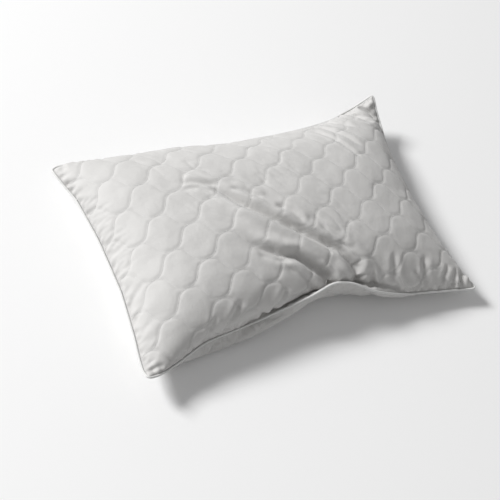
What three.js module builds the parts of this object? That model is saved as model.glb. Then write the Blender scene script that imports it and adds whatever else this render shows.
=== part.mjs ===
// Quilted bed pillow, lying flat on its underside. Millimetres, +Z up, +X along the long side.
// The shell is two quilted panels (face cloth, quilting threads, wadding, lining) sewn together
// round a piped edge, and it holds one loose filling. All soft pieces share one grid of points,
// so neighbouring layers follow each other exactly and never touch.
import * as THREE from 'three';

// ---- driving dimensions -------------------------------------------------------------------
const CUT_LENGTH = 740;          // flat cut of each panel, seam to seam
const CUT_WIDTH = 480;
const TIP_X = 362;               // filled pillow: half distance between corner tips at the seam
const TIP_Y = 233.5;
const BOW_LONG = 33;             // how far the middle of a long side is drawn in by the filling
const BOW_SHORT = 28;            // the same for a short side
const HEIGHT = 150;              // thickness at the crown
const SEAM_Z = 58;               // height of the edge seam above the flat underside
const CROWN_POWER = 0.55;        // fullness of the upper surface: 1 is a dome, 0 is a box
const UNDERSIDE_PRESS = 1.5;     // how hard the underside is pressed flat, over 1

const CLOTH = 0.6;               // cotton face cloth
const WADDING_EDGE = 1.0;        // wadding, squeezed at the seam and lofted inside
const WADDING_LOFT = 5.0;
const LINING = 0.4;
const GAP = 0.3;                 // air between neighbouring layers
const THREAD_SPACE = 3.2;        // room under the face cloth for the quilting threads
const FILLING_INSET = 14;        // seam to the edge of the filling, in the grid's own plane

const CORD_RADIUS = 1.5;         // piping
const STRIP = 0.5;               // thickness of the bias strip round the piping cord
const STRIP_SLIT = 0.3;          // between the strip's two leaves
const FLANGE = 8;                // seam allowance of the strip
const SEAM_THREAD_RADIUS = 0.2;
const SEAM_THREAD_INSET = 2;
const OPENING = 220;             // filling opening on the back long side, closed after filling
const OPENING_GAP = 4;           // between the seam's end and the closing thread's end

const QUILT_PERIOD = 104;        // length of one wave of a quilting line
const QUILT_PITCH = 38;          // distance between neighbouring quilting lines
const QUILT_SLOPE = 20;          // run of a line's steep stretch
const QUILT_X0 = -40;            // a crest of the even lines
const QUILT_Y0 = 17;             // middle of line 0
const QUILT_CLEARANCE = 0.8;     // half the space between two lines where they come together
const QUILT_FIRST = -6;          // the lines across one panel, front to back
const QUILT_LAST = 5;
const QUILT_THREAD_RADIUS = 0.3;
const QUILT_EDGE = 0.85;         // threads end where the panels turn steeply down to the seam

const COLUMNS = 16;              // grid cells between the filling's edges
const ROWS = 10;

// ---- materials ----------------------------------------------------------------------------
const fabric = (color, roughness) => new THREE.MeshStandardMaterial({ color, roughness, metalness: 0 });
const materials = {
  cotton: fabric(0xe4e2de, 0.75),
  wadding: fabric(0xf2f1ee, 0.95),
  lining: fabric(0xe9e9e6, 0.85),
  piping: fabric(0xeceae5, 0.7),
  thread: fabric(0xd9d6d0, 0.6),
  filling: fabric(0xf4f3f0, 0.95),
};

const part = new THREE.Group();

function addNode(name, geometry, material) {
  const mesh = new THREE.Mesh(geometry, material);
  mesh.name = name;
  part.add(mesh);
}

// ---- shared grid: u and v run from -1 to 1 across the panel --------------------------------
function stations(tip, cells) {
  const inner = 1 - FILLING_INSET / tip;
  const even = Array.from({ length: cells + 1 }, (_, i) => inner * (2 * i / cells - 1));
  return [-1, ...even, 1];
}

const gridU = stations(TIP_X, COLUMNS);
const gridV = stations(TIP_Y, ROWS);

// Plan position: the sides bow inward between the corner tips.
function plan(u, v) {
  return [
    TIP_X * u * (1 - (BOW_SHORT / TIP_X) * (1 - v * v)),
    TIP_Y * v * (1 - (BOW_LONG / TIP_Y) * (1 - u * u)),
  ];
}

const crown = (u, v) => ((1 - u * u) * (1 - v * v)) ** CROWN_POWER;

// How far a layer has opened out from its thickness at the seam to its full loft.
const opened = (u, v) => Math.min(1, 4 * crown(u, v));
const mix = (a, b, t) => a + (b - a) * t;

// Depths below the outside of the face cloth, in order from the outside in.
const depth = {
  outside: () => 0,
  clothBack: () => CLOTH,
  threads: (u, v) => CLOTH + mix(GAP, THREAD_SPACE, opened(u, v)) / 2,
  waddingFace: (u, v) => CLOTH + mix(GAP, THREAD_SPACE, opened(u, v)),
  waddingBack: (u, v) => depth.waddingFace(u, v) + mix(WADDING_EDGE, WADDING_LOFT, opened(u, v)),
  liningFace: (u, v) => depth.waddingBack(u, v) + GAP,
  liningBack: (u, v) => depth.liningFace(u, v) + LINING,
  filling: (u, v) => depth.liningBack(u, v) + GAP,
};

// Half the height of the sewn edge, from the middle of the seam to the outside of a face cloth.
const FLANGE_TOP = STRIP_SLIT / 2 + STRIP;
const EDGE = FLANGE_TOP + GAP + depth.liningBack(1, 1);

const upper = (layer) => (u, v) =>
  SEAM_Z + EDGE + (HEIGHT - SEAM_Z - EDGE) * crown(u, v) - layer(u, v);

const lower = (layer) => (u, v) =>
  Math.max(0, (SEAM_Z - EDGE) * (1 - UNDERSIDE_PRESS * crown(u, v))) + layer(u, v);

// ---- geometry helpers ----------------------------------------------------------------------
function geometryOf(positions, triangles) {
  const geometry = new THREE.BufferGeometry();
  geometry.setAttribute('position', new THREE.Float32BufferAttribute(positions.flat(), 3));
  geometry.setIndex(triangles.flat());
  geometry.computeVertexNormals();
  return geometry;
}

// A closed sheet between two height functions over the grid, `inset` cells in from the seam.
function sheet(top, bottom, inset = 0) {
  const us = gridU.slice(inset, gridU.length - inset);
  const vs = gridV.slice(inset, gridV.length - inset);
  const positions = [];
  for (const height of [top, bottom]) {
    for (const v of vs) {
      for (const u of us) positions.push([...plan(u, v), height(u, v)]);
    }
  }
  const layer = us.length * vs.length;
  const at = (i, j) => j * us.length + i;
  const triangles = [];
  for (let j = 0; j + 1 < vs.length; j++) {
    for (let i = 0; i + 1 < us.length; i++) {
      const quad = [at(i, j), at(i + 1, j), at(i + 1, j + 1), at(i, j + 1)];
      for (const [a, b, c] of splitQuad(quad, us[i] + us[i + 1], vs[j] + vs[j + 1])) {
        triangles.push([a, b, c], [a + layer, c + layer, b + layer]);
      }
    }
  }
  const rim = rimOf(us.length, vs.length, at);
  rim.forEach((a, k) => {
    const b = rim[(k + 1) % rim.length];
    triangles.push([a, a + layer, b + layer], [a, b + layer, b]);
  });
  return geometryOf(positions, triangles);
}

// Diagonals run from the corners towards the middle, so no facet lies flat across a corner.
function splitQuad([a, b, c, d], uSide, vSide) {
  return uSide * vSide > 0 ? [[a, b, c], [a, c, d]] : [[a, b, d], [b, c, d]];
}

// Indices of the grid's edge, anticlockwise seen from above.
function rimOf(countU, countV, at) {
  const rim = [];
  for (let i = 0; i < countU - 1; i++) rim.push(at(i, 0));
  for (let j = 0; j < countV - 1; j++) rim.push(at(countU - 1, j));
  for (let i = countU - 1; i > 0; i--) rim.push(at(i, countV - 1));
  for (let j = countV - 1; j > 0; j--) rim.push(at(0, j));
  return rim;
}

const seamLine = rimOf(gridU.length, gridV.length, (i, j) => [i, j])
  .map(([i, j]) => new THREE.Vector2(...plan(gridU[i], gridV[j])));

// The inward mitre at each point of an anticlockwise line: its length keeps the offset even.
function mitres(line, closed) {
  const left = (a, b) => new THREE.Vector2(a.y - b.y, b.x - a.x).normalize();
  return line.map((point, k) => {
    const before = line[k - 1] ?? (closed ? line[line.length - 1] : null);
    const after = line[k + 1] ?? (closed ? line[0] : null);
    const inA = before ? left(before, point) : left(point, after);
    const inB = after ? left(point, after) : left(before, point);
    return inA.clone().add(inB).divideScalar(1 + inA.dot(inB));
  });
}

// Sweep a section along a line. Section points are [distance inside the line, height], clockwise.
function sweep(section, line, closed) {
  const inward = mitres(line, closed);
  const positions = line.flatMap((point, k) => section.map(([s, z]) =>
    [point.x + inward[k].x * s, point.y + inward[k].y * s, SEAM_Z + z]));
  const n = section.length;
  const triangles = [];
  const spans = closed ? line.length : line.length - 1;
  for (let k = 0; k < spans; k++) {
    const here = k * n;
    const next = ((k + 1) % line.length) * n;
    for (let m = 0; m < n; m++) {
      const w = (m + 1) % n;
      triangles.push([here + m, next + w, here + w], [here + m, next + m, next + w]);
    }
  }
  if (!closed) {
    const last = (line.length - 1) * n;
    for (let m = 1; m + 1 < n; m++) {
      triangles.push([0, m, m + 1], [last, last + m + 1, last + m]);
    }
  }
  return geometryOf(positions, triangles);
}

const arc = (centre, radius, from, to, steps) => Array.from({ length: steps + 1 }, (_, i) => {
  const angle = THREE.MathUtils.degToRad(mix(from, to, i / steps));
  return [centre[0] + radius * Math.cos(angle), centre[1] + radius * Math.sin(angle)];
});

const roundSection = (centre, radius, sides) => arc(centre, radius, 360, 360 / sides, sides - 1);

// ---- the two quilted panels ----------------------------------------------------------------
function addPanel(side, place) {
  const layers = [
    ['face_cloth', depth.outside, depth.clothBack, materials.cotton],
    ['wadding', depth.waddingFace, depth.waddingBack, materials.wadding],
    ['lining', depth.liningFace, depth.liningBack, materials.lining],
  ];
  for (const [name, near, far, material] of layers) {
    const faces = side === 'upper' ? [place(near), place(far)] : [place(far), place(near)];
    addNode(`${side}_${name}`, sheet(...faces), material);
  }
  for (let k = QUILT_FIRST; k <= QUILT_LAST; k++) {
    addNode(`${side}_quilting_thread_${k - QUILT_FIRST + 1}`, quiltingThread(k, place), materials.thread);
  }
}

// Height of a layer on the facets of the grid, so that a thread follows the sheets exactly.
function facetHeight(height, u, v) {
  const cell = (grid, value) => {
    const i = grid.findIndex((g) => g > value) - 1;
    return [grid[i], grid[i + 1], (value - grid[i]) / (grid[i + 1] - grid[i])];
  };
  const [u0, u1, s] = cell(gridU, u);
  const [v0, v1, t] = cell(gridV, v);
  const [a, b, c, d] = [height(u0, v0), height(u1, v0), height(u1, v1), height(u0, v1)];
  if ((u0 + u1) * (v0 + v1) > 0) return s > t ? a + (b - a) * s + (c - b) * t : a + (d - a) * t + (c - d) * s;
  return s + t < 1 ? a + (b - a) * s + (d - a) * t : c + (d - c) * (1 - s) + (b - c) * (1 - t);
}

// One wavy quilting line: flat crests and troughs joined by steep stretches.
function quiltingThread(k, place) {
  const amplitude = (k % 2 === 0 ? 1 : -1) * (QUILT_PITCH / 2 - QUILT_CLEARANCE);
  const flat = QUILT_PERIOD / 4 - QUILT_SLOPE / 2;
  const crests = Math.ceil(CUT_LENGTH / QUILT_PERIOD);
  const line = [];
  for (let crest = -crests; crest <= crests; crest++) {
    const x = QUILT_X0 + crest * QUILT_PERIOD / 2;
    const y = QUILT_Y0 + k * QUILT_PITCH + (crest % 2 === 0 ? amplitude : -amplitude);
    const v = THREE.MathUtils.clamp(2 * y / CUT_WIDTH, -QUILT_EDGE, QUILT_EDGE);
    for (const end of [x - flat, x + flat]) line.push(new THREE.Vector2(2 * end / CUT_LENGTH, v));
  }
  const height = place(depth.threads);
  const inside = splitAt(line, 'x', [-QUILT_EDGE, QUILT_EDGE]).filter((p) => Math.abs(p.x) <= QUILT_EDGE);
  const points = splitAt(splitAt(inside, 'x', gridU), 'y', gridV)
    .map(({ x: u, y: v }) => new THREE.Vector3(...plan(u, v), facetHeight(height, u, v)));
  return tube(points, QUILT_THREAD_RADIUS);
}

// Add the points where a line of [u, v] points crosses the given values of one coordinate.
function splitAt(line, axis, values) {
  const other = axis === 'x' ? 'y' : 'x';
  return line.flatMap((from, k) => {
    const to = line[k + 1] ?? from;
    const step = to[axis] - from[axis];
    const crossed = values.filter((value) => (value - from[axis]) * (value - to[axis]) < 0);
    if (step < 0) crossed.reverse();
    const added = crossed.map((value) => {
      const point = new THREE.Vector2();
      point[axis] = value;
      point[other] = mix(from[other], to[other], (value - from[axis]) / step);
      return point;
    });
    return [from, ...added];
  });
}

// A three-sided closed tube through the points, which advance along +X.
function tube(points, radius) {
  const corners = [90, 210, 330].map(THREE.MathUtils.degToRad);
  const positions = points.flatMap((point, k) => {
    const ahead = points[Math.min(k + 1, points.length - 1)];
    const behind = points[Math.max(k - 1, 0)];
    const along = ahead.clone().sub(behind).normalize();
    const side = new THREE.Vector3(0, 0, 1).cross(along).normalize();
    const up = along.clone().cross(side);
    return corners.map((a) => point.clone()
      .addScaledVector(side, radius * Math.cos(a))
      .addScaledVector(up, radius * Math.sin(a)).toArray());
  });
  const triangles = [[0, 2, 1]];
  for (let k = 0; k + 1 < points.length; k++) {
    for (let m = 0; m < 3; m++) {
      const w = (m + 1) % 3;
      const [here, next] = [3 * k, 3 * k + 3];
      triangles.push([here + m, here + w, next + w], [here + m, next + w, next + m]);
    }
  }
  const last = 3 * (points.length - 1);
  triangles.push([last, last + 1, last + 2]);
  return geometryOf(positions, triangles);
}

// ---- the piped edge seam -------------------------------------------------------------------
const CORD_CENTRE = [-(CORD_RADIUS + GAP + STRIP + GAP), 0];

function addPiping() {
  const inner = CORD_RADIUS + GAP;
  const outer = inner + STRIP;
  const mouth = THREE.MathUtils.radToDeg(Math.asin((STRIP_SLIT / 2) / inner));
  const heel = THREE.MathUtils.radToDeg(Math.asin(FLANGE_TOP / outer));
  const strip = [
    [FLANGE, FLANGE_TOP],
    [FLANGE, STRIP_SLIT / 2],
    ...arc(CORD_CENTRE, inner, mouth, 360 - mouth, 8),
    [FLANGE, -STRIP_SLIT / 2],
    [FLANGE, -FLANGE_TOP],
    ...arc(CORD_CENTRE, outer, 360 - heel, heel, 8),
  ];
  addNode('piping_strip', sweep(strip, seamLine, true), materials.piping);
  addNode('piping_cord', sweep(roundSection(CORD_CENTRE, CORD_RADIUS, 6), seamLine, true), materials.thread);
}

// The seam runs all the way round except across the filling opening, which has its own thread.
function addSeamThreads() {
  const section = roundSection(
    [SEAM_THREAD_INSET, FLANGE_TOP + GAP + SEAM_THREAD_RADIUS], SEAM_THREAD_RADIUS, 4);
  const back = seamLine.filter((p) => p.y > 0);
  const onBack = (x) => {
    const k = back.findIndex((p, i) => i > 0 && p.x <= x && back[i - 1].x >= x);
    const [a, b] = [back[k - 1], back[k]];
    return a.clone().lerp(b, (x - a.x) / (b.x - a.x));
  };
  const edge = OPENING / 2;
  const inOpening = (p, reach) => p.y > TIP_Y / 2 && Math.abs(p.x) < reach;
  const first = seamLine.findIndex((p) => inOpening(p, edge + OPENING_GAP));
  const turned = [...seamLine.slice(first), ...seamLine.slice(0, first)];
  const outside = turned.filter((p) => !inOpening(p, edge + OPENING_GAP));
  const inside = turned.filter((p) => inOpening(p, edge));
  const seam = [onBack(-edge - OPENING_GAP), ...outside, onBack(edge + OPENING_GAP)];
  const closing = [onBack(edge), ...inside, onBack(-edge)];
  addNode('seam_thread', sweep(section, seam, false), materials.thread);
  addNode('closing_thread', sweep(section, closing, false), materials.thread);
}

addPanel('upper', upper);
addPanel('lower', lower);
addPiping();
addSeamThreads();
addNode('filling', sheet(upper(depth.filling), lower(depth.filling), 1), materials.filling);

export default part;
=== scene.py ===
import math

import bpy
import numpy as np
from mathutils import Matrix, Vector, kdtree, noise


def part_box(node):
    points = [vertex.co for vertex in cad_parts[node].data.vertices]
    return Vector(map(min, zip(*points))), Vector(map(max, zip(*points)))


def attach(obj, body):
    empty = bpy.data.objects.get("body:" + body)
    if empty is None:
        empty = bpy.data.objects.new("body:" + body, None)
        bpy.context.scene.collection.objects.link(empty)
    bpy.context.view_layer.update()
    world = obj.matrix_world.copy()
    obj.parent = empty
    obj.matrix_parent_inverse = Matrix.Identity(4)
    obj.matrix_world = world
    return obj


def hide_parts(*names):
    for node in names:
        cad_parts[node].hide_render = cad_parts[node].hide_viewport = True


# A quilted bed pillow lying on its underside. The two panels are sewn together and filled by a
# small cloth simulation, then the quilting, the puckers and the piping are built on its result.
# Metres throughout; "cloth coordinates" are places on the flat cut, from the panel's middle.

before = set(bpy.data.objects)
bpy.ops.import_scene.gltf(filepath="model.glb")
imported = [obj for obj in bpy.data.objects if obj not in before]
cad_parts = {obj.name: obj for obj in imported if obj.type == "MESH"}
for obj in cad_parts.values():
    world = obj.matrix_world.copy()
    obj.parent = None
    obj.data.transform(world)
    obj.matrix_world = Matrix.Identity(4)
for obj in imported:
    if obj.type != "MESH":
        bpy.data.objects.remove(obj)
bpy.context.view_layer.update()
MM = 0.001

# ---- sizes that the CAD part shares ---------------------------------------------------------
CUT_LENGTH, CUT_WIDTH = 740 * MM, 480 * MM
QUILT_PERIOD = 104 * MM      # length of one wave of a quilting line
QUILT_PITCH = 38 * MM        # distance between neighbouring lines
QUILT_X0 = -40 * MM          # a crest of the even lines
QUILT_Y0 = 17 * MM           # middle of line 0
QUILT_TOUCH = 0.8 * MM       # half the space between two lines where they come together
QUILT_FIRST, QUILT_LAST = -6, 5
QUILT_SHARPNESS = 1.5        # how square the wave is: 0 is a sine
CORD_RADIUS = 1.5 * MM
FLANGE = 8 * MM
OPENING = 220 * MM

SEAM_Z = 0.5 * (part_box("piping_cord")[0].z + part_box("piping_cord")[1].z)
TIP_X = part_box("upper_face_cloth")[1].x
TIP_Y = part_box("upper_face_cloth")[1].y

# ---- sizes of the visual model only -----------------------------------------------------------
CLOTH, CLOTH_AT_SEAM = 0.5 * MM, 0.3 * MM    # thickness of the face cloths
THREAD_ROOM = 0.7 * MM                       # between the floor and the underside's cloth
STRIP_MIDDLE = CORD_RADIUS + 0.35 * MM       # radius of the strip's middle surface on the cord
FINE = 274, 178                              # columns and rows of cells in a face cloth
PADDED = 137, 89                             # in a wadding
COARSE = 91, 59                              # in a lining and in the filling

# ---- camera, lights and floor ---------------------------------------------------------------
CAMERA_AIM = Vector((-0.076, -0.049, 0.075))
CAMERA_DISTANCE = 2.161
CAMERA_AZIMUTH, CAMERA_ELEVATION, CAMERA_ROLL = -46.93, 52.71, 26.23
CAMERA_LENS = 82.8


def look_from(azimuth, elevation):
    """Unit vector from the aim towards a viewer: azimuth 0 looks along +Y."""
    a, e = math.radians(azimuth), math.radians(elevation)
    return Vector((math.sin(a) * math.cos(e), -math.cos(a) * math.cos(e), math.sin(e)))


def add_camera():
    back = look_from(CAMERA_AZIMUTH, CAMERA_ELEVATION)
    right = Vector((0, 0, 1)).cross(back).normalized()
    axes = Matrix((right, back.cross(right), back)).transposed()
    turned = axes @ Matrix.Rotation(math.radians(CAMERA_ROLL), 3, "Z")
    camera = bpy.data.objects.new("camera", bpy.data.cameras.new("camera"))
    camera.data.lens = CAMERA_LENS
    camera.data.sensor_width = 36
    camera.matrix_world = Matrix.Translation(CAMERA_AIM + back * CAMERA_DISTANCE) @ turned.to_4x4()
    bpy.context.scene.collection.objects.link(camera)
    bpy.context.scene.camera = camera


def add_light(name, direction, distance, size, energy):
    lamp = bpy.data.lights.new(name, "AREA")
    lamp.size = size
    lamp.energy = energy
    light = bpy.data.objects.new(name, lamp)
    light.location = CAMERA_AIM + Vector(direction).normalized() * distance
    light.rotation_euler = (CAMERA_AIM - light.location).to_track_quat("-Z", "Y").to_euler()
    bpy.context.scene.collection.objects.link(light)


def add_surroundings():
    world = bpy.data.worlds.new("studio")
    world.use_nodes = True
    background = world.node_tree.nodes["Background"]
    background.inputs["Color"].default_value = (1.0, 1.0, 1.0, 1)
    background.inputs["Strength"].default_value = 0.33
    bpy.context.scene.world = world
    add_light("key", direction=(-0.66, 0.62, 0.66), distance=9.0, size=2.2, energy=860)
    half = 30
    corners = [(-half, -half, 0), (half, -half, 0), (half, half, 0), (-half, half, 0)]
    mesh = bpy.data.meshes.new("floor")
    mesh.from_pydata(corners, [], [(0, 1, 2, 3)])
    floor = bpy.data.objects.new("floor", mesh)
    bpy.context.scene.collection.objects.link(floor)
    material = bpy.data.materials.new("floor")
    material.use_nodes = True
    shader = material.node_tree.nodes["Principled BSDF"]
    shader.inputs["Base Color"].default_value = (0.93, 0.93, 0.93, 1)
    shader.inputs["Roughness"].default_value = 0.9
    floor.data.materials.append(material)
    bpy.context.scene.view_settings.view_transform = "Standard"


# ---- cloth solver ---------------------------------------------------------------------------
# P is an array [panel, row, column, xyz]: panel 0 is the upper one. The panels share their rims.
DAMPING = 0.96               # share of the speed that is kept from step to step
PASSES = 4                   # rounds of constraints in each step
SHEAR = 0.15                 # strength of the cells' diagonals
FLOOR_SLIP = 0.3             # share of a sideways move that the floor lets through
PUSH_GAIN = 8                # how strongly the filling answers missing volume
PUSH_LEAST, PUSH_MOST = -0.3, 1.0            # as shares of the full pressure


def sew(P):
    """Keep the rims of the two panels together."""
    for rim in ((slice(None), 0), (slice(None), -1), (0, slice(None)), (-1, slice(None))):
        middle = 0.5 * (P[0][rim] + P[1][rim])
        P[0][rim] = middle
        P[1][rim] = middle


def pull(P, first, second, rest, stretch, squeeze):
    """Move two sets of points towards their rest distance."""
    gap = P[second] - P[first]
    length = np.sqrt((gap * gap).sum(-1, keepdims=True)) + 1e-12
    error = length - rest
    move = 0.5 * np.where(error > 0, stretch, squeeze) * error / length * gap
    P[first] += move
    P[second] -= move


def links(P, axis, step, rest, stretch, squeeze):
    """Links between points `step` apart along rows or columns, in sets that share no point."""
    count = P.shape[axis]
    for parity in range(2):
        for offset in range(step):
            first = np.arange(parity * step + offset, count - step, 2 * step)
            here = [slice(None)] * 3
            there = [slice(None)] * 3
            here[axis] = first
            there[axis] = first + step
            pull(P, tuple(here), tuple(there), rest[tuple(here)], stretch, squeeze)


def shear(P, rest, strength):
    """Both diagonals of every cell."""
    rows = P.shape[1]
    for start in range(2):
        below = np.arange(start, rows - 1, 2)
        for left, right in ((slice(None, -1), slice(1, None)), (slice(1, None), slice(None, -1))):
            a = P[:, below][:, :, left]
            b = P[:, below + 1][:, :, right]
            gap = b - a
            length = np.sqrt((gap * gap).sum(-1, keepdims=True)) + 1e-12
            move = 0.5 * strength * (length - rest) / length * gap
            lower, upper = P[:, below], P[:, below + 1]
            lower[:, :, left] += move
            upper[:, :, right] -= move
            P[:, below] = lower
            P[:, below + 1] = upper


def normals(P):
    """Outward normals, not normalised: their length is four cell areas."""
    along_x = np.empty_like(P)
    along_y = np.empty_like(P)
    along_x[:, :, 1:-1] = P[:, :, 2:] - P[:, :, :-2]
    along_x[:, :, 0] = 2 * (P[:, :, 1] - P[:, :, 0])
    along_x[:, :, -1] = 2 * (P[:, :, -1] - P[:, :, -2])
    along_y[:, 1:-1] = P[:, 2:] - P[:, :-2]
    along_y[:, 0] = 2 * (P[:, 1] - P[:, 0])
    along_y[:, -1] = 2 * (P[:, -1] - P[:, -2])
    n = np.cross(along_x, along_y)
    n[1] *= -1
    return n


def volume(P):
    """What the two panels hold between them, in cubic metres."""
    total = 0.0
    for sign, Q in ((1, P[0]), (-1, P[1])):
        a, b, c, d = Q[:-1, :-1], Q[:-1, 1:], Q[1:, 1:], Q[1:, :-1]
        total += sign * np.einsum("...i,...i", a, np.cross(b, c) + np.cross(c, d)).sum() / 6
    return total


def resample(P, columns, rows):
    """Cubic resampling to another grid."""
    for axis, count in ((1, rows + 1), (2, columns + 1)):
        place = np.linspace(0, P.shape[axis] - 1, count)
        cell = np.clip(np.floor(place).astype(int), 0, P.shape[axis] - 2)
        shape = [1] * P.ndim
        shape[axis] = count
        t = (place - cell).reshape(shape)
        a = np.take(P, np.clip(cell - 1, 0, None), axis)
        b = np.take(P, cell, axis)
        c = np.take(P, cell + 1, axis)
        d = np.take(P, np.clip(cell + 2, None, P.shape[axis] - 1), axis)
        P = b + 0.5 * t * (c - a + t * (2 * a - 5 * b + 4 * c - d + t * (3 * (b - c) + d - a)))
    return P


def cloth_grid(columns, rows):
    """Cloth coordinates of a grid, as two arrays [row, column]."""
    x = np.linspace(-CUT_LENGTH / 2, CUT_LENGTH / 2, columns + 1)
    y = np.linspace(-CUT_WIDTH / 2, CUT_WIDTH / 2, rows + 1)
    return np.meshgrid(x, y)


def from_edge(x, y):
    """Distance of cloth points from the nearest edge of the cut."""
    return np.minimum(CUT_LENGTH / 2 - np.abs(x), CUT_WIDTH / 2 - np.abs(y))


def along_line(x, y, points):
    """Signed distance to a polyline, left of it positive, and the place along it from 0 to 1."""
    points = np.array(points, float) * MM
    lengths = np.linalg.norm(np.diff(points, axis=0), axis=1)
    starts = np.r_[0, np.cumsum(lengths)]
    best = np.full(x.shape, 1e9)
    place = np.zeros(x.shape)
    for i, (a, b) in enumerate(zip(points[:-1], points[1:])):
        d = b - a
        t = np.clip(((x - a[0]) * d[0] + (y - a[1]) * d[1]) / (d @ d), 0, 1)
        dx, dy = x - a[0] - t * d[0], y - a[1] - t * d[1]
        distance = np.hypot(dx, dy) * np.where(d[0] * dy - d[1] * dx >= 0, 1, -1)
        nearer = np.abs(distance) < np.abs(best)
        best = np.where(nearer, distance, best)
        place = np.where(nearer, (starts[i] + t * lengths[i]) / starts[-1], place)
    return best, place


# ---- how the pillow has been pressed and folded -----------------------------------------------
# The pillow is bent a little along one diagonal. Each corner's grid row and column, then where it
# is held in mm: x, y and height against the seam.
CORNERS = {
    (-1, 0): (-367, 237, -18),
    (-1, -1): (368, 250, 42),
    (0, -1): (384, -246, -20),
    (0, 0): (-366, -237, 8),
}
CORNER_GRIP = 0.25
CORNER_FIRMNESS = np.array([0.7, 0.7, 1])    # of that grip, in x, y and z

# Two folds cross the upper panel to the front seam, in cloth coordinates in mm. Then how hard each
# is pressed, by the place along it.
UPPER_FOLD = [
    (-150, 80), (-121, 55), (-83, 3), (-36, -43), (11, -85), (67, -130), (94, -171), (99, -235)]
LOWER_FOLD = [
    (-116, -62), (-87, -89), (-58, -109), (-25, -121), (4, -148), (30, -175), (42, -205), (42, -240)]
UPPER_PRESS = [0, 0.15, 0.5, 1], [0.15, 0.6, 0.9, 0.5]
LOWER_PRESS = [0, 0.2, 0.6, 1], [0.3, 0.8, 1.1, 0.5]

PINCH_X = 42                 # where the lower fold gathers the front seam, mm
PINCH_IN, PINCH_UP = 77, 32  # how far it draws the seam in from the tips and up, mm
PINCH_REACH = 34             # how far along the seam it draws it up, mm
PINCH_GRIP = 0.3

# How far the seams are drawn in from the tips, in mm, and how firmly they are held there, both by
# the place along the seam in mm. The right seam is free.
FRONT_IN = (
    [-370, -300, -230, -120, -60, 0, 22, PINCH_X, 62, 84, 120, 200, 370],
    [0, 24, 50, 60, 60, 62, 68, PINCH_IN, 70, 61, 44, 30, 0])
FRONT_GRIP = (
    [-370, -330, -200, -20, 20, PINCH_X, 64, 100, 150, 370],
    [0, 0.02, 0.04, 0.06, 0.25, 0.3, 0.25, 0.06, 0.03, 0])
LEFT_IN = [-240, -160, -60, 60, 160, 240], [0, 18, 31, 32, 24, 0]
LEFT_GRIP = [-240, -180, 0, 180, 240], [0, 0.08, 0.1, 0.08, 0]
BACK_IN = [-370, -300, -200, -60], [0, 9, 20, 30]
BACK_GRIP = [-370, -320, -180, -60], [0, 0.06, 0.06, 0]
FRONT_TIP, LEFT_TIP, BACK_TIP = 4, 4.5, 3    # how far past the CAD's tips the seams are aimed, mm
LEFT_DROP, BACK_RISE = 8, 2                  # how far those seams are held below or above SEAM_Z, mm

# How far the upper panel at the front and the underside at the left stay in from their seams, for
# each metre that they stand above or below them.
FRONT_LEAN = (
    [-370, -120, PINCH_X - 30, PINCH_X, PINCH_X + 40, 160, 370],
    [0, 0.05, 0.3, 0.55, 0.35, 0.1, 0])
LEFT_LEAN = 0.6
FRONT_WALL, LEFT_WALL = -0.16, -0.24         # how far in from the edges that holds, cloth y and x
WALL_GRIP = 0.3


class Hands:
    """What holds and presses the pillow while it takes its shape."""

    def __init__(self, columns, rows, groove_width, groove_force):
        self.x, self.y = cloth_grid(columns, rows)
        x, y = self.x[0] / MM, self.y[:, 0] / MM
        self.front_in = np.interp(x, *FRONT_IN) * MM
        self.front_grip = np.interp(x, *FRONT_GRIP)
        self.front_lean = np.interp(x, *FRONT_LEAN)
        self.near_pinch = np.exp(-((x - PINCH_X) / PINCH_REACH) ** 2)
        self.left_in = np.interp(y, *LEFT_IN) * MM
        self.left_grip = np.interp(y, *LEFT_GRIP)
        self.back_in = np.interp(x, *BACK_IN) * MM
        self.back_grip = np.interp(x, *BACK_GRIP)
        presses = []
        for fold, press in ((UPPER_FOLD, UPPER_PRESS), (LOWER_FOLD, LOWER_PRESS)):
            away, place = along_line(self.x, self.y, fold)
            presses.append(np.exp(-(away / groove_width) ** 2) * np.interp(place, *press))
        self.groove = np.maximum(*presses) * groove_force

    def __call__(self, P, ease):
        """Move the panels a little towards where they are held; `ease` goes from 0 to 1."""
        self.hold_corners(P)
        self.draw_seams_in(P, ease)
        self.tuck_walls(P, ease)
        P[0, ..., 2] -= self.groove * ease

    def hold_corners(self, P):
        for (row, column), (corner_x, corner_y, lift) in CORNERS.items():
            target = np.array([corner_x * MM, corner_y * MM, SEAM_Z + lift * MM])
            P[:, row, column] += CORNER_GRIP * (target - P[0, row, column]) * CORNER_FIRMNESS

    def draw_seams_in(self, P, ease):
        front, left, back = P[:, 0], P[:, :, 0], P[:, -1]
        grip = ease * self.front_grip
        front[..., 1] += grip * (self.front_in - TIP_Y - FRONT_TIP * MM - front[..., 1])
        grip = ease * PINCH_GRIP * self.near_pinch
        front[..., 2] += grip * (SEAM_Z + PINCH_UP * MM - front[..., 2])
        grip = ease * self.left_grip
        left[..., 0] += grip * (self.left_in - TIP_X - LEFT_TIP * MM - left[..., 0])
        left[..., 2] += grip * (SEAM_Z - LEFT_DROP * MM - left[..., 2])
        grip = ease * self.back_grip
        back[..., 1] += grip * (TIP_Y + BACK_TIP * MM - self.back_in - back[..., 1])
        back[..., 2] += grip * (SEAM_Z + BACK_RISE * MM - back[..., 2])

    def tuck_walls(self, P, ease):
        """Keep the cloth by the left and the front seam from bulging out past it."""
        tucked = P[1, :, :1, 0] + LEFT_LEAN * (P[1, :, :1, 2] - P[1, ..., 2])
        past = np.clip(tucked - P[1, ..., 0], 0, None)
        P[1, ..., 0] += np.where(self.x < LEFT_WALL, WALL_GRIP * ease * past, 0)
        behind = P[0, :1, :, 1] + self.front_lean * (P[0, ..., 2] - P[0, :1, :, 2])
        past = np.clip(behind - P[0, ..., 1], 0, None)
        P[0, ..., 1] += np.where(self.y < FRONT_WALL, WALL_GRIP * ease * past, 0)


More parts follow.
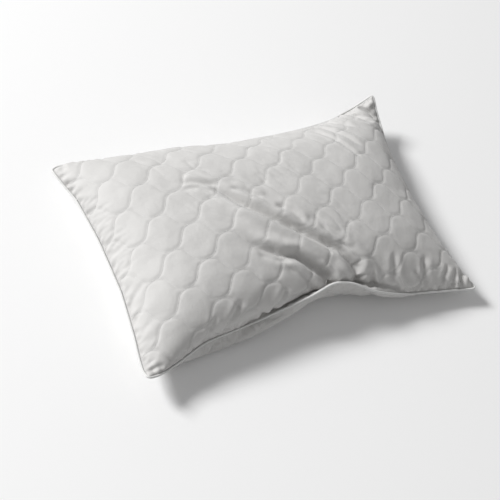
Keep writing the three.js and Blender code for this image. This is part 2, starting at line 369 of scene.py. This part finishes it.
FILLED = 30.5e-3             # what the filled pillow holds, cubic metres
COLUMNS, ROWS = 46, 30       # cells of the first level; each level has twice as many each way
START_SIZE = 0.97            # share of the cut's size that the panels start with
START_HEIGHT = 70 * MM       # of the seam, and of each dome above and below it


def roughen(P, amount, rng):
    """Uneven heights, from which the cloth starts its wrinkles."""
    uneven = rng.normal(size=P.shape[:3])
    for _ in range(2):
        uneven[:, 1:-1, 1:-1] = (uneven[:, 1:-1, 1:-1] + uneven[:, 2:, 1:-1] + uneven[:, :-2, 1:-1]
                                 + uneven[:, 1:-1, 2:] + uneven[:, 1:-1, :-2]) / 5
    P[..., 2] += amount * uneven
    sew(P)


def settle(P, hands, steps, pressure, weight, ease_steps=1, squeeze=0.6, bend=0.1, gather=1.0):
    """Let the filled pillow find its shape: inextensible cloth, filling pressure, weight, floor."""
    rows, columns = P.shape[1] - 1, P.shape[2] - 1
    dx, dy = CUT_LENGTH / columns, CUT_WIDTH / rows
    rest_x = np.full((2, rows + 1, columns + 1, 1), dx)
    rest_y = np.full((2, rows + 1, columns + 1, 1), dy)
    double_x, double_y = 2 * rest_x, 2 * rest_y
    rest_x[:, [0, -1]] *= gather
    rest_y[:, :, [0, -1]] *= gather
    before = P.copy()
    for step in range(steps):
        speed = (P - before) * DAMPING
        before = P.copy()
        push = np.clip(PUSH_GAIN * (1 - volume(P) / FILLED), PUSH_LEAST, PUSH_MOST) * pressure
        P += speed + normals(P) / (4 * dx * dy) * push
        P[..., 2] -= weight
        hands(P, min(1.0, step / ease_steps))
        for _ in range(PASSES):
            links(P, 2, 1, rest_x, 1.0, squeeze)
            sew(P)
            links(P, 1, 1, rest_y, 1.0, squeeze)
            sew(P)
            shear(P, math.hypot(dx, dy), SHEAR)
            sew(P)
            links(P, 2, 2, double_x, 0.0, bend)
            links(P, 1, 2, double_y, 0.0, bend)
            sew(P)
            under = P[..., 2] < 0
            P[..., 2][under] = 0
            P[..., :2][under] = (1 - FLOOR_SLIP) * before[..., :2][under] + FLOOR_SLIP * P[..., :2][under]
    return P


def flat_start():
    """Two domed panels with a little air between them."""
    x, y = cloth_grid(COLUMNS, ROWS)
    dome = ((1 - (2 * x / CUT_LENGTH) ** 2) * (1 - (2 * y / CUT_WIDTH) ** 2)).clip(0, 1) ** 0.5
    P = np.zeros((2, ROWS + 1, COLUMNS + 1, 3))
    P[..., 0] = START_SIZE * x
    P[..., 1] = START_SIZE * y
    P[0, ..., 2] = START_HEIGHT * (1 + dome)
    P[1, ..., 2] = START_HEIGHT * (1 - dome)
    return P


def filled_shape():
    """The simulated pillow, as panels of 184 by 120 cells."""
    rng = np.random.default_rng(7)
    P = flat_start()
    roughen(P, 2 * MM, rng)
    hands = Hands(COLUMNS, ROWS, 9 * MM, 6e-5)
    P = settle(P, hands, steps=450, pressure=4e-4, weight=2e-5, ease_steps=220)
    P = resample(P, 2 * COLUMNS, 2 * ROWS)
    roughen(P, 0.8 * MM, rng)
    hands = Hands(2 * COLUMNS, 2 * ROWS, 8 * MM, 3.2e-5)
    P = settle(P, hands, steps=240, pressure=2e-4, weight=1e-5)
    P = resample(P, 4 * COLUMNS, 4 * ROWS)
    roughen(P, 0.4 * MM, rng)
    hands = Hands(4 * COLUMNS, 4 * ROWS, 6 * MM, 1.8e-5)
    P = settle(P, hands, steps=140, pressure=1e-4, weight=5e-6, squeeze=1.0, bend=0.02, gather=0.965)
    return ease_pinch(P)


EASED = 30 * MM, 75 * MM     # how far from the pinch, in the upper and the lower panel
EASE_ROUNDS, EASE_SHARE = 24, 0.7


def ease_pinch(P):
    """Even out the cloth right at the pinch, where the grid is crowded."""
    x, y = cloth_grid(P.shape[2] - 1, P.shape[1] - 1)
    reach = np.array(EASED)[:, None, None]
    near = np.exp(-((x - PINCH_X * MM) ** 2 + (y + CUT_WIDTH / 2) ** 2) / reach ** 2)[..., None]
    for _ in range(EASE_ROUNDS):
        mean = P.copy()
        mean[:, 1:-1, 1:-1] = (P[:, 2:, 1:-1] + P[:, :-2, 1:-1] + P[:, 1:-1, 2:] + P[:, 1:-1, :-2]) / 4
        mean[:, 0, 1:-1] = (P[:, 0, 2:] + P[:, 0, :-2]) / 2
        P = P + EASE_SHARE * near * (mean - P)
        sew(P)
    return P


# ---- quilting -------------------------------------------------------------------------------
def wave(x):
    """The quilting wave, from -1 to 1, at cloth coordinate x."""
    turn = 2 * math.pi * (x - QUILT_X0) / QUILT_PERIOD
    return np.tanh(QUILT_SHARPNESS * np.cos(turn)) / math.tanh(QUILT_SHARPNESS)


def quilting_lines(step):
    """Each quilting line as an array of cloth points, inside the cut, about `step` apart."""
    x = np.arange(-CUT_LENGTH / 2, CUT_LENGTH / 2, 0.25 * MM)
    lines = []
    for k in range(QUILT_FIRST, QUILT_LAST + 1):
        swing = (QUILT_PITCH / 2 - QUILT_TOUCH) * (1 if k % 2 == 0 else -1)
        line = np.c_[x, QUILT_Y0 + k * QUILT_PITCH + swing * wave(x)]
        line = line[np.abs(line[:, 1]) < CUT_WIDTH / 2]
        length = np.r_[0, np.cumsum(np.linalg.norm(np.diff(line, axis=0), axis=1))]
        places = np.arange(0, length[-1], step)
        lines.append(np.c_[np.interp(places, length, line[:, 0]), np.interp(places, length, line[:, 1])])
    return lines


def distance_to_quilting(x, y):
    points = np.concatenate(quilting_lines(1.0 * MM))
    tree = kdtree.KDTree(len(points))
    for i, (px, py) in enumerate(points):
        tree.insert((px, py, 0), i)
    tree.balance()
    flat = [tree.find((px, py, 0))[2] for px, py in zip(x.ravel(), y.ravel())]
    return np.array(flat).reshape(x.shape)


# ---- relief on the panels -------------------------------------------------------------------
CHANNEL_DEPTH = 2.2 * MM
CHANNEL_NARROW, CHANNEL_WIDE = 2.2 * MM, 8 * MM    # half widths of its sharp and its soft part
EDGE_FADE = 3.5 * MM         # the relief dies out this near the seam
CREASE_FADE = 26 * MM        # and the creases this near
WAVINESS = (2.2 * MM, 75 * MM, 40), (0.9 * MM, 26 * MM, 50)    # height, size and seed
WRINKLE_DEPTH, WRINKLE_WIDTH = 1.5 * MM, 0.13      # the width is a share of the noise's height
ROLL_PLACE, ROLL_WIDTH = 2.2, 1.3                  # of a crease's rolls, in widths of the crease
# Creases pressed into the upper panel: cloth points in mm, then depth, width, height of the roll
# on its left and on its right, all in mm.
CREASES = [
    (UPPER_FOLD, 13.0, 8, 4.0, 9.0),
    (LOWER_FOLD, 12.0, 8, 8.0, 3.0),
    ([(-178, 92), (-150, 78), (-112, 60)], 4.6, 5, 2.0, 2.0),
    ([(-182, 76), (-150, 64), (-128, 44)], 3.4, 4, 1.5, 1.5),
    ([(-96, 50), (-70, 28), (-44, 4)], 4.0, 5, 2.0, 1.0),
    ([(-30, -10), (-4, -34), (14, -66)], 4.6, 6, 2.0, 1.0),
    ([(36, -72), (60, -96), (88, -122)], 4.0, 6, 2.0, 1.0),
    ([(60, -110), (92, -132), (112, -168)], 3.4, 6, 2.0, 1.0),
    ([(-104, -96), (-72, -118), (-40, -128)], 3.6, 5, 2.0, 1.0),
    ([(-66, -124), (-34, -150), (-10, -176), (2, -206)], 4.0, 6, 2.0, 1.0),
    ([(-92, -236), (-84, -206), (-60, -170)], 3.6, 6, 2.0, 1.5),
    ([(-196, -236), (-186, -204), (-156, -168)], 4.4, 6, 2.0, 1.5),
    ([(-236, -237), (-232, -208), (-214, -180)], 3.6, 5, 1.5, 1.5),
    ([(160, 178), (186, 120), (214, 62)], 3.6, 4, 1.6, 1.6),
    ([(186, 196), (206, 150), (236, 96)], 4.2, 5, 2.0, 1.6),
    ([(222, 214), (240, 184), (262, 156)], 3.0, 5, 1.6, 1.6),
    ([(262, 206), (290, 182), (322, 170)], 3.8, 6, 1.6, 2.0),
    ([(292, 228), (318, 200), (346, 180)], 3.2, 4, 1.6, 1.6),
    ([(122, -236), (130, -204), (120, -174)], 3.0, 5, 1.5, 1.5),
    ([(150, -237), (132, -206), (128, -176)], 2.6, 4, 1.5, 1.5),
    ([(196, -237), (176, -204), (180, -150)], 3.8, 6, 1.5, 2.0),
    ([(236, -238), (240, -214), (224, -190)], 3.2, 4, 1.5, 1.5),
    ([(266, -238), (248, -206), (256, -162)], 4.2, 6, 2.0, 1.5),
    ([(300, -238), (296, -214), (312, -186)], 3.2, 4, 1.5, 1.5),
    ([(330, -238), (322, -218), (332, -194)], 3.0, 4, 1.5, 1.5),
]
# Where the seam draws the cloth up most: cloth x and y in mm, reach in mm and strength.
GATHERED = [
    (350, -225, 190, 1.0),
    (-350, -225, 170, 0.8),
    (-350, 225, 150, 0.8),
    (350, 225, 120, 0.8),
    (-365, -60, 150, 0.7),
    (60, -240, 90, 0.7),
    (-150, -240, 170, 0.95),
]
LEAST_GATHERED = 0.35
# Ranges that the puckers are drawn from, in mm; the lean is a share of the reach.
PUCKER_SPACING = 7, 19
PUCKER_REACH = 14, 52
PUCKER_LEAN = -0.5, 0.5
PUCKER_DEPTH = 1.2, 3.6
PUCKER_WIDTH = 3.0, 5.0
PUCKER_MARGIN = 8            # how far from a corner the first and last one stand, mm
PUCKER_AROUND = 70           # a pucker changes nothing farther off than this, mm


def field(x, y, scale, seed):
    """Smooth noise from -1 to 1 over the cloth, features about `scale` across."""
    out = np.empty(x.size)
    for i, (a, b) in enumerate(zip(x.ravel(), y.ravel())):
        out[i] = noise.noise((a / scale, b / scale, seed * 7.3))
    return out.reshape(x.shape)


def smooth(t):
    t = np.clip(t, 0, 1)
    return t * t * (3 - 2 * t)


def crease(x, y, points, depth, width, left, right):
    """A sharp valley along a line, with a soft roll on each side of it."""
    away, t = along_line(x, y, points)
    away = away / (width * MM)
    valley = -depth * np.exp(-np.abs(away) ** 1.5)
    rolls = (left * np.exp(-((away - ROLL_PLACE) / ROLL_WIDTH) ** 2)
             + right * np.exp(-((away + ROLL_PLACE) / ROLL_WIDTH) ** 2))
    return (valley + rolls) * smooth(t / 0.25) * smooth((1.02 - t) / 0.22) * MM


def gathered(px, py):
    """How much the seam draws the cloth up at a place in mm, from 0 to 1."""
    strengths = [strength * math.exp(-((px - gx) ** 2 + (py - gy) ** 2) / reach ** 2)
                 for gx, gy, reach, strength in GATHERED]
    return max(LEAST_GATHERED, *strengths)


def pucker(x, y, dx, dy, depth, width):
    """A short crease from (0, 0) to (dx, dy) that widens inward, with a soft roll beside it."""
    span = math.hypot(dx, dy)
    t = (x * dx + y * dy) / span ** 2
    away = np.abs(x * dy - y * dx) / span / (width * (1 + 0.6 * t.clip(0, 1)))
    shape = -np.exp(-away ** 1.5) + 0.6 * np.exp(-((away - 1.9) / 1.0) ** 2)
    return depth * shape * smooth((t + 0.05) / 0.15) * smooth((1 - t) / 0.7)


def puckers(x, y, rng):
    """Short creases square to the edge seam, crowded where the seam draws the cloth up."""
    x, y = x / MM, y / MM
    total = np.zeros_like(x)
    half_x, half_y = 0.5 * CUT_LENGTH / MM, 0.5 * CUT_WIDTH / MM
    for side in ("front", "back", "left", "right"):
        lengthwise = side in ("front", "back")
        sign = -1 if side in ("front", "left") else 1
        length, out = (half_x, half_y) if lengthwise else (half_y, half_x)
        along = -length + PUCKER_MARGIN
        while along < length - PUCKER_MARGIN:
            along += rng.uniform(*PUCKER_SPACING)
            px, py = (along, sign * out) if lengthwise else (sign * out, along)
            strength = gathered(px, py)
            reach = rng.uniform(*PUCKER_REACH) * (0.5 + 0.5 * strength)
            lean = rng.uniform(*PUCKER_LEAN) * reach
            depth = rng.uniform(*PUCKER_DEPTH) * strength
            width = rng.uniform(*PUCKER_WIDTH)
            dx, dy = (lean, -sign * reach) if lengthwise else (-sign * reach, lean)
            near = (np.abs(x - px) < PUCKER_AROUND) & (np.abs(y - py) < PUCKER_AROUND)
            total[near] += pucker(x[near] - px, y[near] - py, dx, dy, depth, width)
    return total * MM


def wrinkles(x, y, panel):
    """Faint narrow creases that run the way the big folds do, in patches."""
    along, across = 0.62 * x - 0.78 * y, 0.78 * x + 0.62 * y
    lines = field(along * 0.28, across, 17 * MM, panel + 60)
    patches = smooth(0.5 + 2.2 * field(x, y, 110 * MM, panel + 70))
    near_folds = np.exp(-((across + 20 * MM) / (95 * MM)) ** 2) if panel == 0 else 0.3
    shape = np.exp(-(lines / WRINKLE_WIDTH) ** 2)
    return -WRINKLE_DEPTH * shape * (0.2 + 0.8 * near_folds) * patches


def relief(x, y, panel):
    """How far each point of a panel stands out from its simulated place."""
    distance = distance_to_quilting(x, y)
    channel = -CHANNEL_DEPTH * (0.75 * np.exp(-(distance / CHANNEL_NARROW) ** 2)
                                + 0.25 * np.exp(-(distance / CHANNEL_WIDE) ** 2))
    channel *= 0.8 + 0.35 * field(x, y, 60 * MM, panel + 3)
    soft = sum(height * field(x, y, size, panel + seed) for height, size, seed in WAVINESS)
    total = channel + soft + wrinkles(x, y, panel) + puckers(x, y, np.random.default_rng(20 + panel))
    if panel == 0:
        for line in CREASES:
            total += crease(x, y, *line) * smooth(from_edge(x, y) / CREASE_FADE)
    return total


# ---- meshes ---------------------------------------------------------------------------------
def unit(v):
    return v / (np.linalg.norm(v, axis=-1, keepdims=True) + 1e-12)


def new_piece(name, vertices, faces, material, uv=None):
    mesh = bpy.data.meshes.new(name)
    mesh.from_pydata(vertices.tolist(), [], faces)
    mesh.shade_smooth()
    if uv is not None:
        uv_layer = mesh.uv_layers.new(name="cloth")
        corner = np.empty(len(mesh.loops), int)
        mesh.loops.foreach_get("vertex_index", corner)
        uv_layer.data.foreach_set("uv", uv[corner].ravel())
    mesh.materials.append(material)
    piece = bpy.data.objects.new(name, mesh)
    bpy.context.scene.collection.objects.link(piece)
    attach(piece, "root")
    return piece


def rim_loop(grid):
    """The rim of a panel's grid, once round, anticlockwise from above."""
    return np.concatenate([grid[0, :-1], grid[:-1, -1], grid[-1, :0:-1], grid[:0:-1, 0]])


def shell(outer, inner, panel):
    """Vertices and faces of a closed sheet between two grids of one panel."""
    index = np.arange(outer.shape[0] * outer.shape[1]).reshape(outer.shape[:2])
    quads = np.stack([index[:-1, :-1], index[:-1, 1:], index[1:, 1:], index[1:, :-1]], -1).reshape(-1, 4)
    rim = rim_loop(index)
    count = index.size
    side = np.stack([rim, rim + count, np.roll(rim, -1) + count, np.roll(rim, -1)], -1)
    if panel == 0:
        faces = [quads, quads[:, ::-1] + count, side]
    else:
        faces = [quads[:, ::-1], quads + count, side[:, ::-1]]
    vertices = np.concatenate([outer.reshape(-1, 3), inner.reshape(-1, 3)])
    return vertices, np.concatenate(faces).tolist()


def shell_uv(columns, rows):
    """Cloth coordinates of a shell's vertices, as its texture coordinates."""
    x, y = cloth_grid(columns, rows)
    return np.tile(np.c_[x.ravel(), y.ravel()], (2, 1))


def ring_faces(count, sides, closed):
    """Faces round a tube of `count` rings with `sides` points each."""
    ring = np.arange(count if closed else count - 1)[:, None] * sides
    a = ring + np.arange(sides)
    b = ring + (np.arange(sides) + 1) % sides
    total = count * sides
    return np.stack([a, b, (b + sides) % total, (a + sides) % total], -1).reshape(-1, 4).tolist()


def tube(line, radius, sides, closed, across):
    """Vertices and faces of a round tube; `across` gives one vector square to each point."""
    ahead = np.roll(line, -1, 0) if closed else np.r_[line[1:], line[-1:]]
    behind = np.roll(line, 1, 0) if closed else np.r_[line[:1], line[:-1]]
    tangent = unit(ahead - behind)
    side = unit(across - (across * tangent).sum(-1, keepdims=True) * tangent)
    up = np.cross(tangent, side)
    angles = np.arange(sides) * 2 * math.pi / sides
    ring = side[:, None] * np.cos(angles)[None, :, None] + up[:, None] * np.sin(angles)[None, :, None]
    vertices = (line[:, None] + radius * ring).reshape(-1, 3)
    faces = ring_faces(len(line), sides, closed)
    if not closed:
        ends = np.arange(len(vertices)).reshape(-1, sides)
        faces += [ends[0, ::-1].tolist(), ends[-1].tolist()]
    return vertices, faces


def stitches(line, up, radius, lift, dive):
    """A sewing thread along a line: over the cloth for each stitch, then down a needle hole."""
    beat = np.arange(len(line)) % 4
    height = np.where(beat == 0, -dive, np.where(beat == 2, lift, 0.7 * lift))
    return tube(line + up * height[:, None], radius, 5, False, np.cross(up, np.gradient(line, axis=0)))


def sample(grid, x, y):
    """Bilinear value of a panel's grid at cloth coordinates."""
    rows, columns = grid.shape[0] - 1, grid.shape[1] - 1
    u = np.clip((x / CUT_LENGTH + 0.5) * columns, 0, columns - 1e-6)
    v = np.clip((y / CUT_WIDTH + 0.5) * rows, 0, rows - 1e-6)
    i, j = u.astype(int), v.astype(int)
    a, b = (u - i)[:, None], (v - j)[:, None]
    return ((grid[j, i] * (1 - a) + grid[j, i + 1] * a) * (1 - b)
            + (grid[j + 1, i] * (1 - a) + grid[j + 1, i + 1] * a) * b)


# How far apart the panels stay, by the distance from the seam.
APART = [0, 3 * MM, 12 * MM, 40 * MM], [0.9 * MM, 2.2 * MM, 3.4 * MM, 7 * MM]


def keep_apart(P):
    """Push the panels apart where they would touch, more so away from the seam."""
    edge = from_edge(*cloth_grid(P.shape[2] - 1, P.shape[1] - 1))
    least = np.interp(edge, *APART)
    short = np.clip(least - (P[0, ..., 2] - P[1, ..., 2]), 0, None)
    P[0, ..., 2] += 0.5 * short
    P[1, ..., 2] -= 0.5 * short
    return P


def detailed(P):
    """The outer faces of both panels, with quilting and puckers, above the floor."""
    P = keep_apart(resample(P, *FINE))
    x, y = cloth_grid(*FINE)
    fade = 1 - np.exp(-(from_edge(x, y) / EDGE_FADE) ** 2)
    n = unit(normals(P))
    out = P.copy()
    for panel in range(2):
        out[panel] += n[panel] * (relief(x, y, panel) * fade)[..., None]
    out[..., 2] = np.maximum(out[..., 2], THREAD_ROOM)
    return keep_apart(out)


# The inner pieces stay clear of the pinch: by how much, round which x and how far along the seam.
CLEARANCE, CLEAR_X, CLEAR_REACH = 75 * MM, -15 * MM, 165 * MM


def inner_layer(outer, cells, inset, depth, share):
    """A coarser grid inside the panels, in from the seam by `inset` and by more near the pinch.

    It is `depth` under the panels, or at `share` of their distance from the middle where they
    are close together.
    """
    columns, rows = cells
    x, y = cloth_grid(columns, rows)
    clear_pinch = CLEARANCE * np.exp(-((x - CLEAR_X) / CLEAR_REACH) ** 2) * (0.5 - y / CUT_WIDTH)
    x = x * (1 - 2 * inset / CUT_LENGTH)
    y = y * (1 - 2 * inset / CUT_WIDTH) + clear_pinch
    grids = np.stack([sample(outer[panel], x.ravel(), y.ravel()) for panel in range(2)])
    grids = grids.reshape(2, rows + 1, columns + 1, 3)
    middle = 0.5 * (grids[0, ..., 2] + grids[1, ..., 2])
    room = 0.5 * share * (grids[0, ..., 2] - grids[1, ..., 2])
    n = unit(normals(grids))
    for _ in range(10):
        n[:, 1:-1, 1:-1] = unit(n[:, 2:, 1:-1] + n[:, :-2, 1:-1] + n[:, 1:-1, 2:] + n[:, 1:-1, :-2])
        n[:, [0, -1]] = n[:, [1, -2]]
        n[:, :, [0, -1]] = n[:, :, [1, -2]]
    inner = grids - n * depth
    inner[0, ..., 2] = np.maximum(inner[0, ..., 2], middle + room)
    inner[1, ..., 2] = np.minimum(inner[1, ..., 2], middle - room)
    return inner


# ---- materials ------------------------------------------------------------------------------
BAND_SPACING = 0.314         # metres between the bands of a wave texture of scale 1


def fabric(name, colour, roughness, sheen, weave, weave_depth, crumple, crumple_depth):
    """Woven or fibrous material: weave spacing and crumple size in metres."""
    material = bpy.data.materials.new(name)
    material.use_nodes = True
    nodes, join = material.node_tree.nodes, material.node_tree.links.new
    shader = nodes["Principled BSDF"]
    shader.inputs["Sheen Weight"].default_value = sheen
    shader.inputs["Sheen Roughness"].default_value = 0.45
    shader.inputs["Specular IOR Level"].default_value = 0.35
    place = nodes.new("ShaderNodeTexCoord")
    tone = nodes.new("ShaderNodeTexNoise")
    tone.inputs["Scale"].default_value = 9
    tone.inputs["Detail"].default_value = 5
    join(place.outputs["Object"], tone.inputs["Vector"])
    ramp = nodes.new("ShaderNodeValToRGB")
    ramp.color_ramp.elements[0].position = 0.3
    ramp.color_ramp.elements[1].position = 0.7
    ramp.color_ramp.elements[0].color = (*[0.965 * c for c in colour], 1)
    ramp.color_ramp.elements[1].color = (*colour, 1)
    join(tone.outputs["Fac"], ramp.inputs["Fac"])
    join(ramp.outputs["Color"], shader.inputs["Base Color"])
    gloss = nodes.new("ShaderNodeMapRange")
    gloss.inputs["To Min"].default_value = roughness - 0.06
    gloss.inputs["To Max"].default_value = roughness + 0.06
    join(tone.outputs["Fac"], gloss.inputs["Value"])
    join(gloss.outputs["Result"], shader.inputs["Roughness"])
    cross = nodes.new("ShaderNodeMath")
    cross.operation = "ADD"
    for i, direction in enumerate("XY"):
        band = nodes.new("ShaderNodeTexWave")
        band.bands_direction = direction
        band.inputs["Scale"].default_value = BAND_SPACING / weave
        band.inputs["Distortion"].default_value = 0.6
        join(place.outputs["UV"], band.inputs["Vector"])
        join(band.outputs["Fac"], cross.inputs[i])
    fine = nodes.new("ShaderNodeBump")
    fine.inputs["Distance"].default_value = weave_depth
    fine.inputs["Strength"].default_value = 0.5
    join(cross.outputs["Value"], fine.inputs["Height"])
    folds = nodes.new("ShaderNodeTexNoise")
    folds.inputs["Scale"].default_value = 1 / crumple
    folds.inputs["Detail"].default_value = 3
    join(place.outputs["Object"], folds.inputs["Vector"])
    wide = nodes.new("ShaderNodeBump")
    wide.inputs["Distance"].default_value = crumple_depth
    join(folds.outputs["Fac"], wide.inputs["Height"])
    join(fine.outputs["Normal"], wide.inputs["Normal"])
    join(wide.outputs["Normal"], shader.inputs["Normal"])
    return material


# ---- pieces ---------------------------------------------------------------------------------
PANELS = "upper", "lower"
FLANGE_GROWTH = 60 * MM      # how far from a corner the strip's flange has its full width
FLANGE_LEAST = 0.12          # share of its width at a corner and at the pinch
PINCH_CELLS = 75             # how far each side of the pinch the flange is at its least, in cells
CORD_OUT = CORD_RADIUS + 0.75 * MM           # from the seam to the middle of the cord
SEAM_THREAD_IN = 1.2 * MM                    # from the seam in to its thread
QUARTER_STITCH = 0.75 * MM                   # a quilting stitch takes four points
QUILT_MARGIN = 2.5 * MM                      # the quilting threads end this near the seam


def rim_frames(outer):
    """Seam line, with outward and upward directions at each of its points."""
    seam = rim_loop(0.5 * (outer[0] + outer[1]))
    tangent = unit(np.roll(seam, -1, 0) - np.roll(seam, 1, 0))
    level = unit(np.cross(tangent, [0.0, 0.0, 1.0]))
    facing = unit(normals(outer))
    facing = facing[0] + facing[1]
    out = np.zeros_like(seam)
    for step in (1, 2, 3):
        shrunk = facing[step:-step, step:-step]
        rows, columns = shrunk.shape[:2]
        fit_rows = np.clip(np.arange(facing.shape[0]) - step, 0, rows - 1)
        fit_columns = np.clip(np.arange(facing.shape[1]) - step, 0, columns - 1)
        out += rim_loop(shrunk[fit_rows][:, fit_columns])
    out = unit(0.5 * out / 3 + level)
    for _ in range(4):
        out = unit(out + 0.5 * (np.roll(out, 1, 0) + np.roll(out, -1, 0)))
        out = unit(out - (out * tangent).sum(-1, keepdims=True) * tangent)
    return seam, out, np.cross(out, tangent)


def flange_widths():
    """Width of the strip's flange round the rim: less where the panels lie close together."""
    columns, rows = FINE
    index = np.arange(2 * (columns + rows))
    corners = np.cumsum([0, columns, rows, columns, rows])
    pinch = int(round((PINCH_X * MM / CUT_LENGTH + 0.5) * columns))
    away = [np.abs(index - corner) for corner in corners]
    away.append(np.clip(np.abs(index - pinch) - PINCH_CELLS, 0, None))
    distance = np.min(away, axis=0) * (CUT_LENGTH / columns)
    return np.clip(distance / FLANGE_GROWTH, FLANGE_LEAST, 1) * FLANGE


def strip_profiles():
    """Cross-sections of the piping strip: round the cord, its two edges laid flat together."""
    half_gap, half_cloth = 0.3 * MM, 0.22 * MM
    open_angle = math.pi - math.asin(half_gap / STRIP_MIDDLE)
    angles = np.linspace(open_angle, -open_angle, 13)
    arc = np.c_[np.cos(angles), np.sin(angles)] * STRIP_MIDDLE
    profiles = []
    for reach in flange_widths():
        far, near = arc[0, 0] - reach, arc[0, 0] - 0.4 * reach
        middle = np.r_[[[far, half_gap], [near, half_gap]], arc, [[near, -half_gap], [far, -half_gap]]]
        ahead = np.gradient(middle, axis=0)
        side = np.c_[-ahead[:, 1], ahead[:, 0]] / np.linalg.norm(ahead, axis=1, keepdims=True)
        profiles.append(np.r_[middle + side * half_cloth, (middle - side * half_cloth)[::-1]])
    return np.array(profiles)


def sweep(line, out, up, profiles):
    """A closed profile carried round a closed line; profiles is [point on line, corner, (out, up)]."""
    vertices = line[:, None] + out[:, None] * profiles[..., :1] + up[:, None] * profiles[..., 1:]
    return vertices.reshape(-1, 3), ring_faces(*profiles.shape[:2], True)


def add_face_cloths(outer, n, cotton):
    edge = from_edge(*cloth_grid(*FINE))
    thickness = np.interp(edge, [0, 4 * MM], [CLOTH_AT_SEAM, CLOTH])[..., None]
    for panel, side in enumerate(PANELS):
        vertices, faces = shell(outer[panel], outer[panel] - n[panel] * thickness, panel)
        cloth = new_piece(side + "_face_cloth_visual", vertices, faces, cotton, shell_uv(*FINE))
        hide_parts(side + "_face_cloth")


def add_inner_pieces(outer, fleece, backing, fibre):
    """Waddings and linings of both panels and the filling, each inside the one before."""
    top = inner_layer(outer, PADDED, 10 * MM, 5.0 * MM, 0.5)
    low = inner_layer(outer, PADDED, 11 * MM, 9.5 * MM, 0.42)
    lining_out = inner_layer(outer, COARSE, 13 * MM, 11.5 * MM, 0.36)
    lining_in = inner_layer(outer, COARSE, 13 * MM, 11.9 * MM, 0.33)
    core = inner_layer(outer, COARSE, 28 * MM, 15.5 * MM, 0.28)
    for panel, side in enumerate(PANELS):
        vertices, faces = shell(top[panel], low[panel], panel)
        wadding = new_piece(side + "_wadding_visual", vertices, faces, fleece, shell_uv(*PADDED))
        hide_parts(side + "_wadding")
        vertices, faces = shell(lining_out[panel], lining_in[panel], panel)
        lining = new_piece(side + "_lining_visual", vertices, faces, backing, shell_uv(*COARSE))
        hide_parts(side + "_lining")
    vertices, faces = shell(core[0], core[1], 0)
    filling = new_piece("filling_visual", vertices, faces, fibre, shell_uv(*COARSE))
    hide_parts("filling")


def add_thread(name, vertices, faces, thread):
    sewn = new_piece(name + "_visual", vertices, faces, thread)
    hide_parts(name)


def add_quilting(outer, n, thread):
    for panel, side in enumerate(PANELS):
        for k, line in enumerate(quilting_lines(QUARTER_STITCH)):
            x, y = line[:, 0], line[:, 1]
            inside = from_edge(x, y) > QUILT_MARGIN
            x, y = x[inside], y[inside]
            on = sample(outer[panel], x, y)
            up = unit(sample(n[panel], x, y))
            vertices, faces = stitches(on, up, radius=0.28 * MM, lift=0.32 * MM, dive=0.4 * MM)
            add_thread(f"{side}_quilting_thread_{k + 1}", vertices, faces, thread)


def add_edge(outer, trim, thread):
    """Piping strip and cord outside the seam, and the thread that sews them and the panels."""
    seam, out, up = rim_frames(outer)
    centre = seam + out * CORD_OUT
    for _ in range(2):
        centre = 0.5 * centre + 0.25 * (np.roll(centre, 1, 0) + np.roll(centre, -1, 0))
    vertices, faces = sweep(centre, out, up, strip_profiles())
    strip = new_piece("piping_strip_visual", vertices, faces, trim)
    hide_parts("piping_strip")
    add_thread("piping_cord", *tube(centre, CORD_RADIUS, 10, True, out), thread)
    add_thread("seam_thread", *tube(seam - out * SEAM_THREAD_IN, 0.2 * MM, 5, True, out), thread)
    add_closing_thread(seam, out, up, thread)


def add_closing_thread(seam, out, up, thread):
    """Over and over stitches along the back seam, where the pillow was filled."""
    columns, rows = FINE
    places = CUT_LENGTH / 2 - np.arange(columns) * CUT_LENGTH / columns
    back = np.arange(columns + rows, 2 * columns + rows)[np.abs(places) < OPENING / 2]
    over = (np.arange(len(back)) % 2 == 1)[:, None]
    reach = np.where(over, 0.1 * MM, 1.6 * MM)
    lift = np.where(over, 2.4 * MM, 0.9 * MM)
    zigzag = seam[back] + out[back] * reach + up[back] * lift
    add_thread("closing_thread", *tube(zigzag, 0.24 * MM, 5, False, up[back]), thread)


def build():
    outer = detailed(filled_shape())
    n = unit(normals(outer))
    cotton = fabric("cotton", (0.60, 0.592, 0.58), 0.62, 0.25, 0.45 * MM, 0.06 * MM, 16 * MM, 0.9 * MM)
    trim = fabric("piping", (0.70, 0.70, 0.69), 0.7, 0.2, 0.5 * MM, 0.08 * MM, 8 * MM, 0.2 * MM)
    thread = fabric("thread", (0.72, 0.72, 0.71), 0.55, 0.3, 0.2 * MM, 0.03 * MM, 3 * MM, 0.05 * MM)
    fleece = fabric("wadding", (0.8, 0.8, 0.79), 0.95, 0.5, 1.5 * MM, 0.3 * MM, 12 * MM, 2 * MM)
    backing = fabric("lining", (0.76, 0.76, 0.75), 0.9, 0.2, 0.7 * MM, 0.1 * MM, 20 * MM, 0.5 * MM)
    fibre = fabric("filling", (0.8, 0.8, 0.79), 0.95, 0.5, 2 * MM, 0.5 * MM, 25 * MM, 4 * MM)
    add_face_cloths(outer, n, cotton)
    add_inner_pieces(outer, fleece, backing, fibre)
    add_quilting(outer, n, thread)
    add_edge(outer, trim, thread)


add_camera()
add_surroundings()
build()
